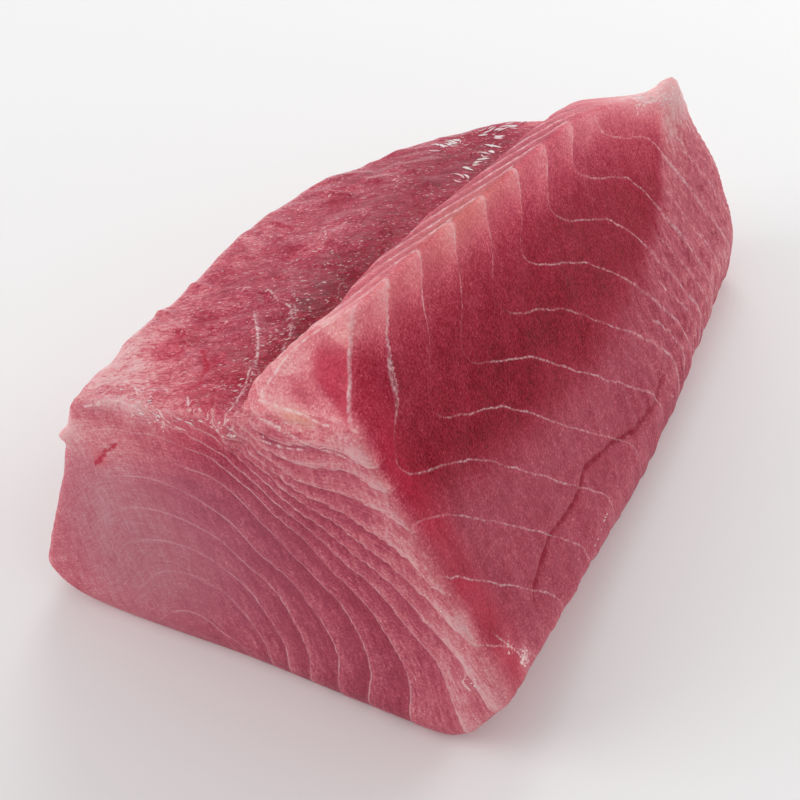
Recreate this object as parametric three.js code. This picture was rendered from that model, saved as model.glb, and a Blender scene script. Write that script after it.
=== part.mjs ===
// Raw tuna loin steak: one thick block of red flesh, cut across and along the loin of a large fish.
//
// Lengths are in millimetres and angles in degrees. +Z is up. The block rests on its flat
// underside at z = 0, and its origin is the middle of its bounding box at that height.
// -Y looks at the front cut, which shows the muscle layers end on. +X looks at the long slope
// that runs from the crest of the ridge down to the board.
//
// The flesh is what a knife leaves. Every face is one cut: a plane that looks towards a heading
// in plan and is lifted above the horizon. Seen from a point inside the flesh, the nearest cut
// wins. The block is two lobes, a low shoulder and a tall ridge, and the valley between them
// is where one lobe's surface passes the other's. The flesh gives a little, so the edges are
// rounded, and broad swells and hollows bow the faces.
import * as THREE from 'three';
import { mergeVertices } from 'three/addons/utils/BufferGeometryUtils.js';

// ---- driving dimensions, in a working frame with its origin at the front cut's left corner ----
const FRONT_WIDTH = 114; // the front cut along the board
const CREST_HEIGHT = 100; // the near end of the ridge, before its edge is rounded
const SHOULDER_HEIGHT = 77; // the low lobe's top where it meets the valley
const RIDGE_LENGTH = 200; // front cut to the ridge's far end
const SHOULDER_LENGTH = 151; // front cut to the low lobe's far end
const CREST_X = 70; // the crest's distance from the left corner
const VALLEY_X = 53; // the valley's distance from the left corner
const INSIDE = [62, 80, 34]; // a point inside both lobes, from which the flesh is measured
const EDGE_SHARPNESS = 34; // higher leaves crisper edges: 34 rounds them by about 2 mm
const CELLS = 28; // patches along each side of the wrapped cube
const FLESH_COLOR = 0xa8324c;
const FLESH_ROUGHNESS = 0.38;

// One knife cut: the heading and lift of the side that is taken away, and a point on the cut.
function cut(heading, lift, x, y, z) {
  const h = THREE.MathUtils.degToRad(heading);
  const l = THREE.MathUtils.degToRad(lift);
  const normal = new THREE.Vector3(
    Math.cos(h) * Math.cos(l), Math.sin(h) * Math.cos(l), Math.sin(l));
  const offset = normal.dot(new THREE.Vector3(x - INSIDE[0], y - INSIDE[1], z - INSIDE[2]));
  return { normal, offset };
}

// Cuts that bound both lobes.
const SHARED = [
  cut(0, -90, 60, 70, -2), // the underside, pressed flat by its weight
  cut(270, 2, 60, -1, 40), // the front cut, across the fish
  cut(4.5, 29.5, 80.5, 0, 84.6), // the long slope below the crest
  cut(5, 5, FRONT_WIDTH + 2.5, 60, 14), // the steep strip along the board
  cut(-7, -31, FRONT_WIDTH - 8, 0, 3), // its foot, tucked under
  cut(-50, -20, FRONT_WIDTH - 1, -1, 7), // the rounded near corner
  cut(70, -9, 83, RIDGE_LENGTH, 50), // the far end, across the fish
];

// Cuts that bound the tall ridge alone.
const RIDGE = [
  cut(128, 3, 64, 168, 40), // the far end's slanting left side
  cut(158, 57.5, CREST_X, 18, CREST_HEIGHT), // the narrow band along the crest
  cut(174, 17, VALLEY_X, 0, 78), // the flank that falls into the valley
  cut(251, 44, 79.5, -1, 81.5), // the nose facet above the front cut
  cut(124, 60, 76, 149, 69), // the crest's fall towards the far end
];

// Cuts that bound the low shoulder alone.
const SHOULDER = [
  cut(175, 13, -1, 0, 20), // the left side
  cut(174, 40, 6, 0, 64), // its upper bevel
  cut(151, 75.5, 49.5, 0, SHOULDER_HEIGHT), // the rough top
  cut(150, 8, 27, 119, 58), // the left side's turn towards the far end
  cut(126, 10, 43, 141, 57), // the same turn, further round
  cut(108, 23, 59, SHOULDER_LENGTH, 55), // the far end
  cut(196, -43, -1, 20, 1), // the foot of the left side, tucked under
];

// Swells (+) and hollows (-) of the soft flesh: centre, reach and height.
const SWELLS = [
  { at: [-2, 5, 30], reach: 18, height: 1.0 }, // the left cheek
  { at: [20, 70, 60], reach: 23, height: 1.8 }, // the shoulder's outer edge
  { at: [108, 0, 12], reach: 10, height: 1.2 }, // the near right corner
  { at: [90, 0, 5], reach: 12, height: 0.6 }, // the lip below the front cut's fold
  { at: [48, 0, 5], reach: 14, height: -0.8 }, // the slack left of that fold
  { at: [84, 196, 50], reach: 8, height: 5.0 }, // the far tip
  { at: [85, 196, 54], reach: 4, height: 4.0 }, // the tip's thin end
  { at: [100, 160, 30], reach: 20, height: 1.8 }, // the far end of the slope
  { at: [114, 118, 12], reach: 20, height: 1.0 }, // the strip along the board
  { at: [98, 85, 45], reach: 27, height: 1.5 }, // the belly of the slope
  { at: [46, 50, 72], reach: 13, height: -1.5 }, // a hollow beside the valley
  { at: [40, 110, 66], reach: 13, height: 1.0 }, // a swell beyond it
];

// The distance to one cut along a ray from the inside point.
function cutDistance(direction, knife) {
  const facing = direction.dot(knife.normal);
  if (facing <= 0) return Infinity;
  return knife.offset / facing;
}

// The cut that a ray meets first on its way out of a lobe.
function nearestCut(direction, knives) {
  let nearest = knives[0];
  for (const knife of knives) {
    if (cutDistance(direction, knife) < cutDistance(direction, nearest)) nearest = knife;
  }
  return nearest;
}

// The cut that shapes the block along a ray: the lobe that reaches further decides.
function shapingCut(direction) {
  const low = nearestCut(direction, [...SHARED, ...SHOULDER]);
  const tall = nearestCut(direction, [...SHARED, ...RIDGE]);
  return cutDistance(direction, low) > cutDistance(direction, tall) ? low : tall;
}

// A lobe's reach along a ray. The sum of high powers takes the nearest cut and rounds the
// edges where two or three cuts are equally near.
function lobeReach(direction, knives) {
  let sum = 0;
  for (const knife of knives) {
    sum += Math.pow(1 / cutDistance(direction, knife), EDGE_SHARPNESS);
  }
  return Math.pow(sum, -1 / EDGE_SHARPNESS);
}

// The point of the surface along a ray: the further lobe, then the swells and hollows, then
// the board, which nothing goes below.
function surfacePoint(direction) {
  const reach = Math.max(
    lobeReach(direction, [...SHARED, ...SHOULDER]),
    lobeReach(direction, [...SHARED, ...RIDGE]));
  const inside = new THREE.Vector3(...INSIDE);
  const point = inside.clone().addScaledVector(direction, reach);
  let rise = 0;
  for (const swell of SWELLS) {
    const away = point.distanceTo(new THREE.Vector3(...swell.at)) / swell.reach;
    rise += swell.height * Math.exp(-away * away / 2);
  }
  point.addScaledVector(direction, rise);
  point.z = Math.max(point.z, 0);
  return point;
}

// The ray through a point of the wrapped cube, spread so that the patches come out alike.
function rayThrough(cubePoint) {
  const spread = (value) => Math.tan(value * Math.PI / 4);
  return new THREE.Vector3(
    spread(cubePoint.x), spread(cubePoint.y), spread(cubePoint.z)).normalize();
}

// A cube corner of the grid moves along a grid line onto the knife edge, when one passes
// within half a patch of it, so that the edges of the block come out straight.
function drawnToEdge(cubePoint) {
  const STEP = 2 / CELLS;
  const HALVINGS = 12;
  const free = ['x', 'y', 'z'].filter((axis) => Math.abs(cubePoint[axis]) < 1 - STEP / 2);
  const here = shapingCut(rayThrough(cubePoint));
  let best = null;
  for (const axis of free) {
    for (const sign of [-1, 1]) {
      const moved = (share) => {
        const trial = cubePoint.clone();
        trial[axis] += sign * share * STEP;
        return trial;
      };
      if (shapingCut(rayThrough(moved(0.5))) === here) continue;
      let low = 0;
      let high = 0.5;
      for (let i = 0; i < HALVINGS; i += 1) {
        const middle = (low + high) / 2;
        if (shapingCut(rayThrough(moved(middle))) === here) low = middle;
        else high = middle;
      }
      if (best === null || high < best.share) best = { share: high, point: moved(high) };
    }
  }
  return best === null ? cubePoint : best.point;
}

// The block's skin: a cube of small patches, each corner pushed out along its ray. Each patch
// is split along the diagonal that lies nearer to the flesh.
function fleshGeometry() {
  const cube = new THREE.BoxGeometry(2, 2, 2, CELLS, CELLS, CELLS);
  cube.deleteAttribute('normal');
  cube.deleteAttribute('uv');
  const geometry = mergeVertices(cube, 1e-4);
  const position = geometry.getAttribute('position');
  const cubePoints = [];
  const points = [];
  for (let i = 0; i < position.count; i += 1) {
    const corner = new THREE.Vector3().fromBufferAttribute(position, i);
    cubePoints.push(drawnToEdge(corner));
    points.push(surfacePoint(rayThrough(cubePoints[i])));
  }

  const index = geometry.getIndex().array;
  const triangles = [];
  for (let i = 0; i < index.length; i += 6) {
    // A patch is stored as the triangles a b d and b c d.
    const [a, b, d, , c] = index.slice(i, i + 6);
    const middle = new THREE.Vector3();
    for (const corner of [a, b, c, d]) middle.add(cubePoints[corner]);
    const flesh = surfacePoint(rayThrough(middle.divideScalar(4)));
    const miss = (p, q) => points[p].clone().add(points[q]).divideScalar(2).distanceTo(flesh);
    if (miss(b, d) <= miss(a, c)) triangles.push(a, b, d, b, c, d);
    else triangles.push(a, b, c, a, c, d);
  }

  const box = new THREE.Box3().setFromPoints(points);
  const middle = box.getCenter(new THREE.Vector3());
  points.forEach((point, i) => {
    position.setXYZ(i, point.x - middle.x, point.y - middle.y, point.z - box.min.z);
  });
  geometry.setIndex(triangles);
  geometry.computeVertexNormals();
  return geometry;
}

const flesh = new THREE.Mesh(
  fleshGeometry(),
  new THREE.MeshStandardMaterial({
    color: FLESH_COLOR, roughness: FLESH_ROUGHNESS, metalness: 0, flatShading: false }));
flesh.name = 'tuna_flesh';

const tunaSteak = new THREE.Group();
tunaSteak.name = 'raw_tuna_steak';
tunaSteak.add(flesh);

export default tunaSteak;
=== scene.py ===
# %% [markdown]
# # A raw tuna loin steak
# A loin of tuna is a stack of muscle layers. Each layer is a few millimetres to two centimetres
# thick, and a thin white membrane lies between one layer and the next. A knife has cut this
# block out of the loin, so every face is a flat cut, and every cut shows the same membranes as
# fine pale lines. This lesson builds the flesh as one smooth surface, and then adds what makes
# it look like raw fish: the lines, the grain of the fibres, the wet gloss and the torn shreds.
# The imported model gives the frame, and nothing here moves or changes it.

import bpy
import numpy as np
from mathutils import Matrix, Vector


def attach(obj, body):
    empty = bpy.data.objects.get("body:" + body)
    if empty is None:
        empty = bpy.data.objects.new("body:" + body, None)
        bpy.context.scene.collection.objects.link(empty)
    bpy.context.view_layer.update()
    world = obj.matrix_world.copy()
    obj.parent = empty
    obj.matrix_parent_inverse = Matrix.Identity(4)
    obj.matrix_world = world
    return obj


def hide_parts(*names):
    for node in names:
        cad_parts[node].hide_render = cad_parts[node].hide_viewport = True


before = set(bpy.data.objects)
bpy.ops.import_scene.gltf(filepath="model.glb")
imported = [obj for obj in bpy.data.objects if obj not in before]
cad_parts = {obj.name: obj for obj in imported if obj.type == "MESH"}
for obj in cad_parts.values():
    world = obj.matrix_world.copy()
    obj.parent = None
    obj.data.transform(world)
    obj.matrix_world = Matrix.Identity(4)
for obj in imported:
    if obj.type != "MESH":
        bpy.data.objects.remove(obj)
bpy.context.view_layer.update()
NODE = "tuna_flesh"
MM = 0.001

# %% [markdown]
# ## The camera
# The camera looks down at 43 degrees, from the front and a little to the right. A camera that
# is turned by two angles alone, first its tilt and then its heading, keeps upright things
# upright, so both angles are named here and the position follows in millimetres.

# %% The camera
CAMERA_HEADING = 25.3  # degrees round from the front cut
CAMERA_LIFT = 43.0  # degrees above the board
CAMERA_AT = Vector((158.1, -357.7, 371.1)) * MM
LENS = 93.0  # mm, in front of a sensor of the width below
SENSOR_WIDTH = 36.0


def add_camera():
    """The camera at CAMERA_AT. It is tilted up from straight down by 90 degrees - its lift."""
    lens = bpy.data.cameras.new("view")
    lens.lens = LENS
    lens.sensor_width = SENSOR_WIDTH
    camera = bpy.data.objects.new("view", lens)
    bpy.context.scene.collection.objects.link(camera)
    camera.location = CAMERA_AT
    camera.rotation_euler = (np.radians(90 - CAMERA_LIFT), 0.0, np.radians(CAMERA_HEADING))
    bpy.context.scene.camera = camera


add_camera()
print("camera, mm:", [round(v / MM, 1) for v in CAMERA_AT])

# %% [markdown]
# ## Light
# Raw fish wants soft light, because a small lamp would leave hard white spots on the wet
# flesh. Four soft boxes do the work here. The two behind the block skim over the top and show
# how wet it is. The world adds an even white light from all sides.

# %% Lamps, world and floor
scene = bpy.context.scene
scene.view_settings.view_transform = "Standard"
WORLD_LIGHT = 0.55
LOOK_AT = Vector((0, 0, 0.04))  # the middle of the block, in metres
FLOOR_HALF = 1.5  # metres
FLOOR_GREY = 0.93
LAMPS = {
    # name: position in metres, size in metres, watts
    "behind": ((-0.30, 0.70, 0.62), 0.45, 2.0),
    "far right": ((0.42, 0.58, 0.50), 0.35, 1.45),
    "left": ((-0.70, -0.60, 0.65), 0.70, 3.6),
    "right": ((0.85, -0.35, 0.55), 0.70, 0.4),
}


def add_lamp(name, at, size, watts):
    """A square soft box at the given place, turned to face the middle of the block."""
    light = bpy.data.lights.new(name, "AREA")
    light.size = size
    light.energy = watts
    lamp = bpy.data.objects.new(name, light)
    scene.collection.objects.link(lamp)
    lamp.location = at
    lamp.rotation_euler = (LOOK_AT - Vector(at)).to_track_quat("-Z", "Y").to_euler()


for lamp_name, (at, size, watts) in LAMPS.items():
    add_lamp(lamp_name, at, size, watts)

world = bpy.data.worlds.new("studio")
scene.world = world
world.use_nodes = True
background = world.node_tree.nodes["Background"]
background.inputs["Color"].default_value = (1.0, 1.0, 1.0, 1.0)
background.inputs["Strength"].default_value = WORLD_LIGHT


def add_floor():
    """A pale square, three metres wide, at height zero."""
    mesh = bpy.data.meshes.new("board")
    corners = [(-1, -1, 0), (1, -1, 0), (1, 1, 0), (-1, 1, 0)]
    mesh.from_pydata([Vector(corner) * FLOOR_HALF for corner in corners], [], [(0, 1, 2, 3)])
    floor = bpy.data.objects.new("board", mesh)
    scene.collection.objects.link(floor)
    material = bpy.data.materials.new("board")
    material.use_nodes = True
    surface = material.node_tree.nodes["Principled BSDF"]
    surface.inputs["Base Color"].default_value = (FLOOR_GREY, FLOOR_GREY, FLOOR_GREY, 1.0)
    surface.inputs["Roughness"].default_value = 0.8
    mesh.materials.append(material)


add_floor()
print("lamps:", sorted(LAMPS))

# %% [markdown]
# ## The knife cuts
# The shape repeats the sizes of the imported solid, in the same working frame: millimetres, with
# the origin at the left corner of the front cut. Each cut is a plane that looks towards a
# heading and is lifted above the horizon. A ray from a point inside the flesh ends where it
# meets the nearest cut. Two lobes, a low shoulder and a tall ridge, share the lower cuts, and
# the lobe that reaches further wins, which leaves the valley between them.

# %% Named sizes and cuts
INSIDE = np.array([62.0, 80.0, 34.0])
CORNER_SHIFT = np.array([-56.9, -93.76, 0.0])  # from the working frame to the part's frame
EDGE_SHARPNESS = 56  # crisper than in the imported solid: edges rounded by about a millimetre

# name: heading, lift, and a point on the cut
SHARED_CUTS = {
    "under": (0, -90, 60, 70, -2),
    "front": (270, 2, 60, -1, 40),
    "slope": (4.5, 29.5, 80.5, 0, 84.6),
    "strip": (5, 5, 116.5, 60, 14),
    "foot": (-7, -31, 106, 0, 3),
    "near_corner": (-50, -20, 113, -1, 7),
    "far_end": (70, -9, 83, 200, 50),
}
RIDGE_CUTS = {
    "far_left": (128, 3, 64, 168, 40),
    "band": (158, 57.5, 70, 18, 100),
    "flank": (174, 17, 53, 0, 78),
    "nose": (251, 44, 79.5, -1, 81.5),
    "crest_fall": (124, 60, 76, 149, 69),
}
SHOULDER_CUTS = {
    "side": (175, 13, -1, 0, 20),
    "bevel": (174, 40, 6, 0, 64),
    "top": (151, 75.5, 49.5, 0, 77),
    "turn": (150, 8, 27, 119, 58),
    "turn_far": (126, 10, 43, 141, 57),
    "shoulder_end": (108, 23, 59, 151, 55),
    "side_foot": (196, -43, -1, 20, 1),
}
# swells (+) and hollows (-): centre, reach, height
SWELLS = [
    ((-2, 5, 30), 18, 1.0),
    ((20, 70, 60), 23, 1.8),
    ((108, 0, 12), 10, 1.2),
    ((90, 0, 5), 12, 0.6),
    ((48, 0, 5), 14, -0.8),
    ((84, 196, 50), 8, 5.0),
    ((85, 196, 54), 4, 4.0),
    ((100, 160, 30), 20, 1.8),
    ((114, 118, 12), 20, 1.0),
    ((98, 85, 45), 27, 1.5),
    ((46, 50, 72), 13, -1.5),
    ((40, 110, 66), 13, 1.0),
]
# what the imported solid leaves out: the torn tip, two small tags and two slack places
SOFT_SWELLS = [
    ((8, 1, 55), 1.3, 2.2),
    ((51, 0, 74), 1.6, 2.0),
    ((115, 62, 8), 28, -2.4),
    ((3, 0, 42), 12, -2.0),
    ((0, 2, 17), 12, -1.8),
]
FOOT_HEIGHT = 9.0  # below this height in mm the sides curl under
FOOT_INSET = 0.045  # by this share of the way to the inside point, at the board
# places that the knife pulled along: centre, reach along x, y and z, and the way they moved
PULLS = [
    ((84.5, 183, 51), (3.6, 4.5, 7), (0, 0, 7)),  # the tip, torn upwards
    ((56, 8, 82), (4.5, 7, 6), (-2.8, -0.6, 0)),  # the nose, pressed out over the valley
    ((62, 25, 93), (5, 9, 5), (1.6, 0, -1.2)),  # the band's first stretch, drawn in
]


def cut_terms(rays, cuts):
    """For each ray and cut: (facing / offset) to the power of the sharpness, zero if behind."""
    terms = {}
    for name, (heading, lift, *point) in cuts.items():
        turn, rise = np.radians(heading), np.radians(lift)
        level = np.cos(rise)
        normal = np.array([np.cos(turn) * level, np.sin(turn) * level, np.sin(rise)])
        offset = (np.array(point) - INSIDE) @ normal
        terms[name] = np.maximum(rays @ normal / offset, 0) ** EDGE_SHARPNESS
    return terms


def bell(points, centre, reach):
    """exp(-d^2 / 2), where d is the distance from the centre, measured in reaches.

    The reach is one number, or one number each along x, y and z.
    """
    return np.exp(-(((points - np.array(centre)) / np.array(reach)) ** 2).sum(axis=1) / 2)


def flesh_surface(rays):
    """Where each ray leaves the flesh, and each cut's share of that place, from 0 to 1.

    A lobe reaches (sum of its terms) ^ (-1 / sharpness). The lobe that reaches further wins.
    The swells then push the place out along the ray, the pulls move it, nothing goes below the
    board, and the foot is drawn in by FOOT_INSET * (1 - z / FOOT_HEIGHT)^2.
    """
    low = cut_terms(rays, {**SHARED_CUTS, **SHOULDER_CUTS})
    tall = cut_terms(rays, {**SHARED_CUTS, **RIDGE_CUTS})
    low_sum, tall_sum = sum(low.values()), sum(tall.values())
    is_low = low_sum < tall_sum
    share = {}
    for name in {**low, **tall}:
        share[name] = np.where(is_low, low.get(name, 0) / low_sum, tall.get(name, 0) / tall_sum)
    reach = np.minimum(low_sum, tall_sum) ** (-1 / EDGE_SHARPNESS)
    points = INSIDE + reach[:, None] * rays
    rise = sum(height * bell(points, at, size) for at, size, height in SWELLS + SOFT_SWELLS)
    points = points + rise[:, None] * rays
    pulled = sum(bell(points, at, size)[:, None] * np.array(way) for at, size, way in PULLS)
    points = points + pulled
    points[:, 2] = np.maximum(points[:, 2], 0)
    curl = FOOT_INSET * np.clip(1 - points[:, 2:] / FOOT_HEIGHT, 0, 1) ** 2
    points[:, :2] += curl * (INSIDE[:2] - points[:, :2])
    return points, share


# %% [markdown]
# ## A closed grid round the block
# The rays go through the cells of a box that is about as large as the block, so that every
# cell comes out about a millimetre wide. Each lattice point on the box has whole numbers
# (i, j, k). Points that two sides share have the same numbers, so they merge exactly and the
# skin has no seam.

# %% Rays through a box of cells
BOX_LOW = np.array([-2.5, -3.2, 0.0])
BOX_HIGH = np.array([116.2, 190.6, 97.5])
CELLS = np.array([112, 186, 92])


def box_lattice(cells):
    """The lattice points on the six sides of a box, and the quads between them.

    A side is a grid over two axes, with the third axis held at 0 or at its last cell. The quad
    a, b, c, d runs anticlockwise seen from outside.
    """
    sides, quads, count = [], [], 0
    for axis in range(3):
        u, v = (axis + 1) % 3, (axis + 2) % 3
        for end in (0, 1):
            grid = np.stack(np.meshgrid(
                np.arange(cells[u] + 1), np.arange(cells[v] + 1), indexing="ij"), axis=-1)
            side = np.zeros(grid.shape[:2] + (3,), np.int64)
            side[..., u] = grid[..., 0]
            side[..., v] = grid[..., 1]
            side[..., axis] = end * cells[axis]
            number = np.arange(side.shape[0] * side.shape[1]).reshape(side.shape[:2]) + count
            corners = [number[:-1, :-1], number[1:, :-1], number[1:, 1:], number[:-1, 1:]]
            if end == 0:
                corners.reverse()
            quads.append(np.stack(corners, axis=-1).reshape(-1, 4))
            sides.append(side.reshape(-1, 3))
            count += side.shape[0] * side.shape[1]
    lattice = np.concatenate(sides)
    lattice, place = np.unique(lattice, axis=0, return_inverse=True)
    return lattice, place.reshape(-1)[np.concatenate(quads)]


lattice, quads = box_lattice(CELLS)
on_box = BOX_LOW + lattice / CELLS * (BOX_HIGH - BOX_LOW)
rays = on_box - INSIDE
rays /= np.linalg.norm(rays, axis=1, keepdims=True)
block, share = flesh_surface(rays)
print("corners:", len(block), " triangles:", 2 * len(quads))
print("size before relief, mm:", np.round(block.max(0) - block.min(0), 1))


def corner_normals(points, faces):
    """Each corner's normal: the sum of the cross products of the diagonals round it."""
    across = np.cross(points[faces[:, 2]] - points[faces[:, 0]],
                      points[faces[:, 3]] - points[faces[:, 1]])
    total = np.zeros_like(points)
    for column in range(4):
        for axis in range(3):
            total[:, axis] += np.bincount(
                faces[:, column], weights=across[:, axis], minlength=len(points))
    return total / np.maximum(np.linalg.norm(total, axis=1, keepdims=True), 1e-12)


outward = corner_normals(block, quads)

# %% [markdown]
# ## Where the membranes run
# A membrane meets the skin in a line. One number per corner says how many membranes lie
# between it and a starting one, so the lines are where that count is a whole number. There are
# five counts, one for each way that the knife met the layers, because a knife edge joins faces
# whose lines need not meet.
#
# On the front cut the membranes are rings round the fish's own core, and they crowd together
# beside the valley. Guide lines, drawn one by one, say where some of them run, and a thin bent
# sheet through the guide lines gives the count everywhere else.

# %% Counts on the front cut
FRONT_GUIDES = {
    # count: points (x, z) along the line, in millimetres
    7: [(33, 11), (46, 9), (52, 5)],
    6: [(25, 15), (34, 25), (47, 24), (57, 12), (58, 2)],
    5: [(17, 18), (22, 28), (34, 34), (48, 31), (58, 21), (63, 3)],
    4: [(13, 28), (22, 39), (34, 43), (48, 40), (59, 32), (67, 18), (68, 2)],
    3: [(8, 38), (15, 46), (30, 52), (44, 50), (56, 41), (68, 31), (76, 17), (76, 2)],
    2: [(13, 50), (26, 58), (40, 59), (54, 54), (65, 44), (76, 35), (84, 18), (83, 2)],
    1: [(10, 57), (26, 64), (46, 65), (56, 59), (67, 51), (78, 41), (89, 27), (94, 6)],
    0: [(12, 65), (28, 70), (41, 69), (50, 66), (60, 59), (70, 53), (84, 44), (99, 28), (106, 12)],
    -1: [(50, 69), (58, 64), (69, 57), (82, 50), (96, 38), (108, 26)],
    -2: [(51, 71), (60, 66), (71, 60), (83, 54), (97, 45)],
    -3: [(53, 73), (62, 67), (72, 63), (83, 59), (98, 49)],
    -4: [(66, 67), (77, 67), (89, 65)],
    -5: [(58, 73), (69, 72), (80, 74)],
    -6: [(60, 77), (70, 78), (83, 77)],
    -7: [(57, 80), (67, 82), (77, 84)],
    -8: [(57, 85), (64, 88), (72, 88)],
}
SHEET_SLACK = 8.0  # how far the sheet may pass beside a guide point


def sheet_bend(squared):
    """How a thin sheet bends round a point: r^2 times the logarithm of r."""
    return 0.5 * squared * np.log(np.maximum(squared, 1e-9))


def bent_sheet(guides, at):
    """The height at each place of a thin sheet that is pinned near every guide point."""
    pins = np.array([p for line in guides.values() for p in line], float)
    heights = np.array([count for count, line in guides.items() for _ in line], float)
    n = len(pins)
    flat = np.column_stack([np.ones(n), pins])
    system = np.zeros((n + 3, n + 3))
    system[:n, :n] = sheet_bend(((pins[:, None] - pins[None]) ** 2).sum(-1))
    system[:n, :n] += SHEET_SLACK * np.eye(n)
    system[:n, n:] = flat
    system[n:, :n] = flat.T
    weights = np.linalg.solve(system, np.append(heights, np.zeros(3)))
    height = weights[n] + at @ weights[n + 1:]
    for weight, pin in zip(weights[:n], pins):
        height = height + weight * sheet_bend(((at - pin) ** 2).sum(-1))
    return height


def front_count(points):
    """The count on the front cut, the nose and the far ends, from x and z alone."""
    return bent_sheet(FRONT_GUIDES, points[:, [0, 2]])


# %% [markdown]
# On the long slope the membranes are chevrons: they fall from the crest towards the front cut,
# turn, and climb away towards the board. One profile gives the chevron, and the next membrane
# is the same profile again, one pitch further along the fish. On the band left of the crest
# the lines run nearly along the ridge, so the count there grows with the distance from the
# slope's plane.

# %% Counts on the slope
LAYER_PITCH = 19.2  # mm along the fish from one membrane to the next
CHEVRON_DOWN = [0, 5, 12, 20, 28, 34, 46, 60, 90]  # mm down the slope from the near crest
CHEVRON_ALONG = [20, 12, 5, -1, -14, -10.5, 9, 22.3, 50.8]  # mm along the fish
CHEVRON_SOFT = 2.2  # mm over which the profile's corners are rounded
CREST_SHIFT = 0.08  # the left arms lie this much of a layer nearer the front cut
BAND_WIDTH = 9.7
BAND_COUNTS = 1.75  # membranes that cross the band between its two edges
SLOPE_NORMAL = np.array([0.8675, 0.0697, 0.4926])
SLOPE_OFFSET = 110.15  # mm from the working frame's origin to the slope's plane
RIGHT_ARMS = 46  # mm down the slope, where the right arms have turned
FAR_LEAN = 0.6175  # beyond that, how much less they climb near the far end
NEAR_LEAN = 3.5  # mm by which the nearest of them lie further along
CREST_X, CREST_Y, CREST_Z = 70, 18, 98  # the crest's near end, mm
CREST_FALL = 0.21  # mm down the slope for each mm along the fish


def ease(low, high, value):
    """0 below low, 1 above high, and a smooth step between them."""
    t = np.clip((value - low) / (high - low), 0, 1)
    return t * t * (3 - 2 * t)


def soft_profile(at, knots, heights, soft):
    """Straight pieces between knots, averaged over a bell of the given width."""
    fine = np.arange(knots[0] - 20, knots[-1] + 20, 0.5)
    first = (heights[1] - heights[0]) / (knots[1] - knots[0])
    straight = np.interp(fine, knots, heights)
    straight += first * np.minimum(fine - knots[0], 0)
    reach = np.arange(-4 * soft, 4 * soft + 0.1, 0.5)
    weights = np.exp(-(reach / soft) ** 2 / 2)
    return np.interp(at, fine, np.convolve(straight, weights / weights.sum(), mode="same"))


def down_slope(points):
    """Millimetres down the slope from the crest's near end."""
    return 0.494 * (points[:, 0] - CREST_X) - 0.869 * (points[:, 2] - CREST_Z)


def crest_down(points):
    """How far down the crest itself lies at this distance along the fish."""
    return np.clip(CREST_FALL * (points[:, 1] - CREST_Y), 0, 25)


def slope_count(points):
    """(distance along the fish - the chevron's profile) / pitch, plus the band's own turn."""
    y = points[:, 1]
    down = down_slope(points)
    inward = np.maximum(SLOPE_OFFSET - points @ SLOPE_NORMAL, 0)
    on_band = ease(0.3, 1.5, inward) * (down < 40) * ease(16, 20, y)
    down = down * (1 - on_band) + crest_down(points) * on_band
    profile = soft_profile(down, CHEVRON_DOWN, CHEVRON_ALONG, CHEVRON_SOFT)
    profile = profile - FAR_LEAN * np.maximum(down - RIGHT_ARMS, 0) * ease(110, 165, y)
    profile = profile + NEAR_LEAN * (1 - ease(10, 70, y)) * ease(30, 60, down)
    turn = BAND_COUNTS * inward / BAND_WIDTH * on_band
    return (y - profile) / LAYER_PITCH + turn + CREST_SHIFT * ease(26, 14, down)


# %% [markdown]
# The nose has one membrane of its own, a straight one. It closes the first dark red cell.

# %% The nose's own membrane
CELL_EDGE_AT = np.array([74.0, 11.0, 91.0])
CELL_EDGE_WAY = np.array([0.914, 0.092, 0.397])  # across the membrane, towards the slope


def cell_count(points):
    """The distance across the membrane, divided by the pitch of the layers."""
    return (points - CELL_EDGE_AT) @ CELL_EDGE_WAY / LAYER_PITCH


# %% [markdown]
# On the rough top a few torn membranes run back from the valley towards the left rim, and the
# same bent sheet carries them over the rest of the top. The left side was never cut across its
# layers, so it only shows shallow chevrons.

# %% Counts on the top and the side
TOP_GUIDES = {
    # count: points (x, y) along the line, in millimetres
    0: [(17, 36), (22, 31), (27, 23), (32, 13), (36, 2)],
    1: [(15, 50), (21, 51), (27, 50), (31, 48), (38, 37), (43, 27), (47, 18), (50, 6)],
    2: [(17, 64), (26, 64), (34, 58), (41, 48), (47, 36), (48, 30)],
    3: [(20, 80), (30, 80), (40, 72), (48, 58), (52, 46)],
    4: [(26, 98), (36, 96), (46, 86), (53, 72)],
    5: [(32, 116), (42, 112), (51, 101), (56, 88)],
    6: [(40, 134), (48, 129), (56, 119), (60, 108)],
    7: [(52, 148), (60, 140), (66, 130)],
}


def top_count(points):
    """The count on the rough top, from x and y alone."""
    return bent_sheet(TOP_GUIDES, points[:, [0, 1]])


SIDE_PITCH = 16.0  # mm along the fish from one membrane to the next
SIDE_TURN = 34  # mm above the board, where the chevrons turn
SIDE_SLANT, SIDE_LEAN = 0.9, 0.15  # mm along the fish per mm of height: each arm, the whole
SIDE_ROUND = 60  # square millimetres, which round the turn


def side_count(points):
    """Shallow chevrons along the left side, which point towards the far end."""
    y, z = points[:, 1], points[:, 2]
    bend = np.sqrt((z - SIDE_TURN) ** 2 + SIDE_ROUND)
    return (y + SIDE_SLANT * bend + SIDE_LEAN * z) / SIDE_PITCH


def count_and_rate(count, points, normals):
    """A count, and how fast it changes over the skin, per millimetre.

    The rate is the length of the count's gradient, from differences over half a millimetre,
    without its part along the normal.
    """
    step = 0.25
    gradient = np.stack([
        (count(points + step * axis) - count(points - step * axis)) / (2 * step)
        for axis in np.eye(3)], axis=1)
    gradient -= (gradient * normals).sum(1, keepdims=True) * normals
    return count(points), np.linalg.norm(gradient, axis=1)


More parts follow.
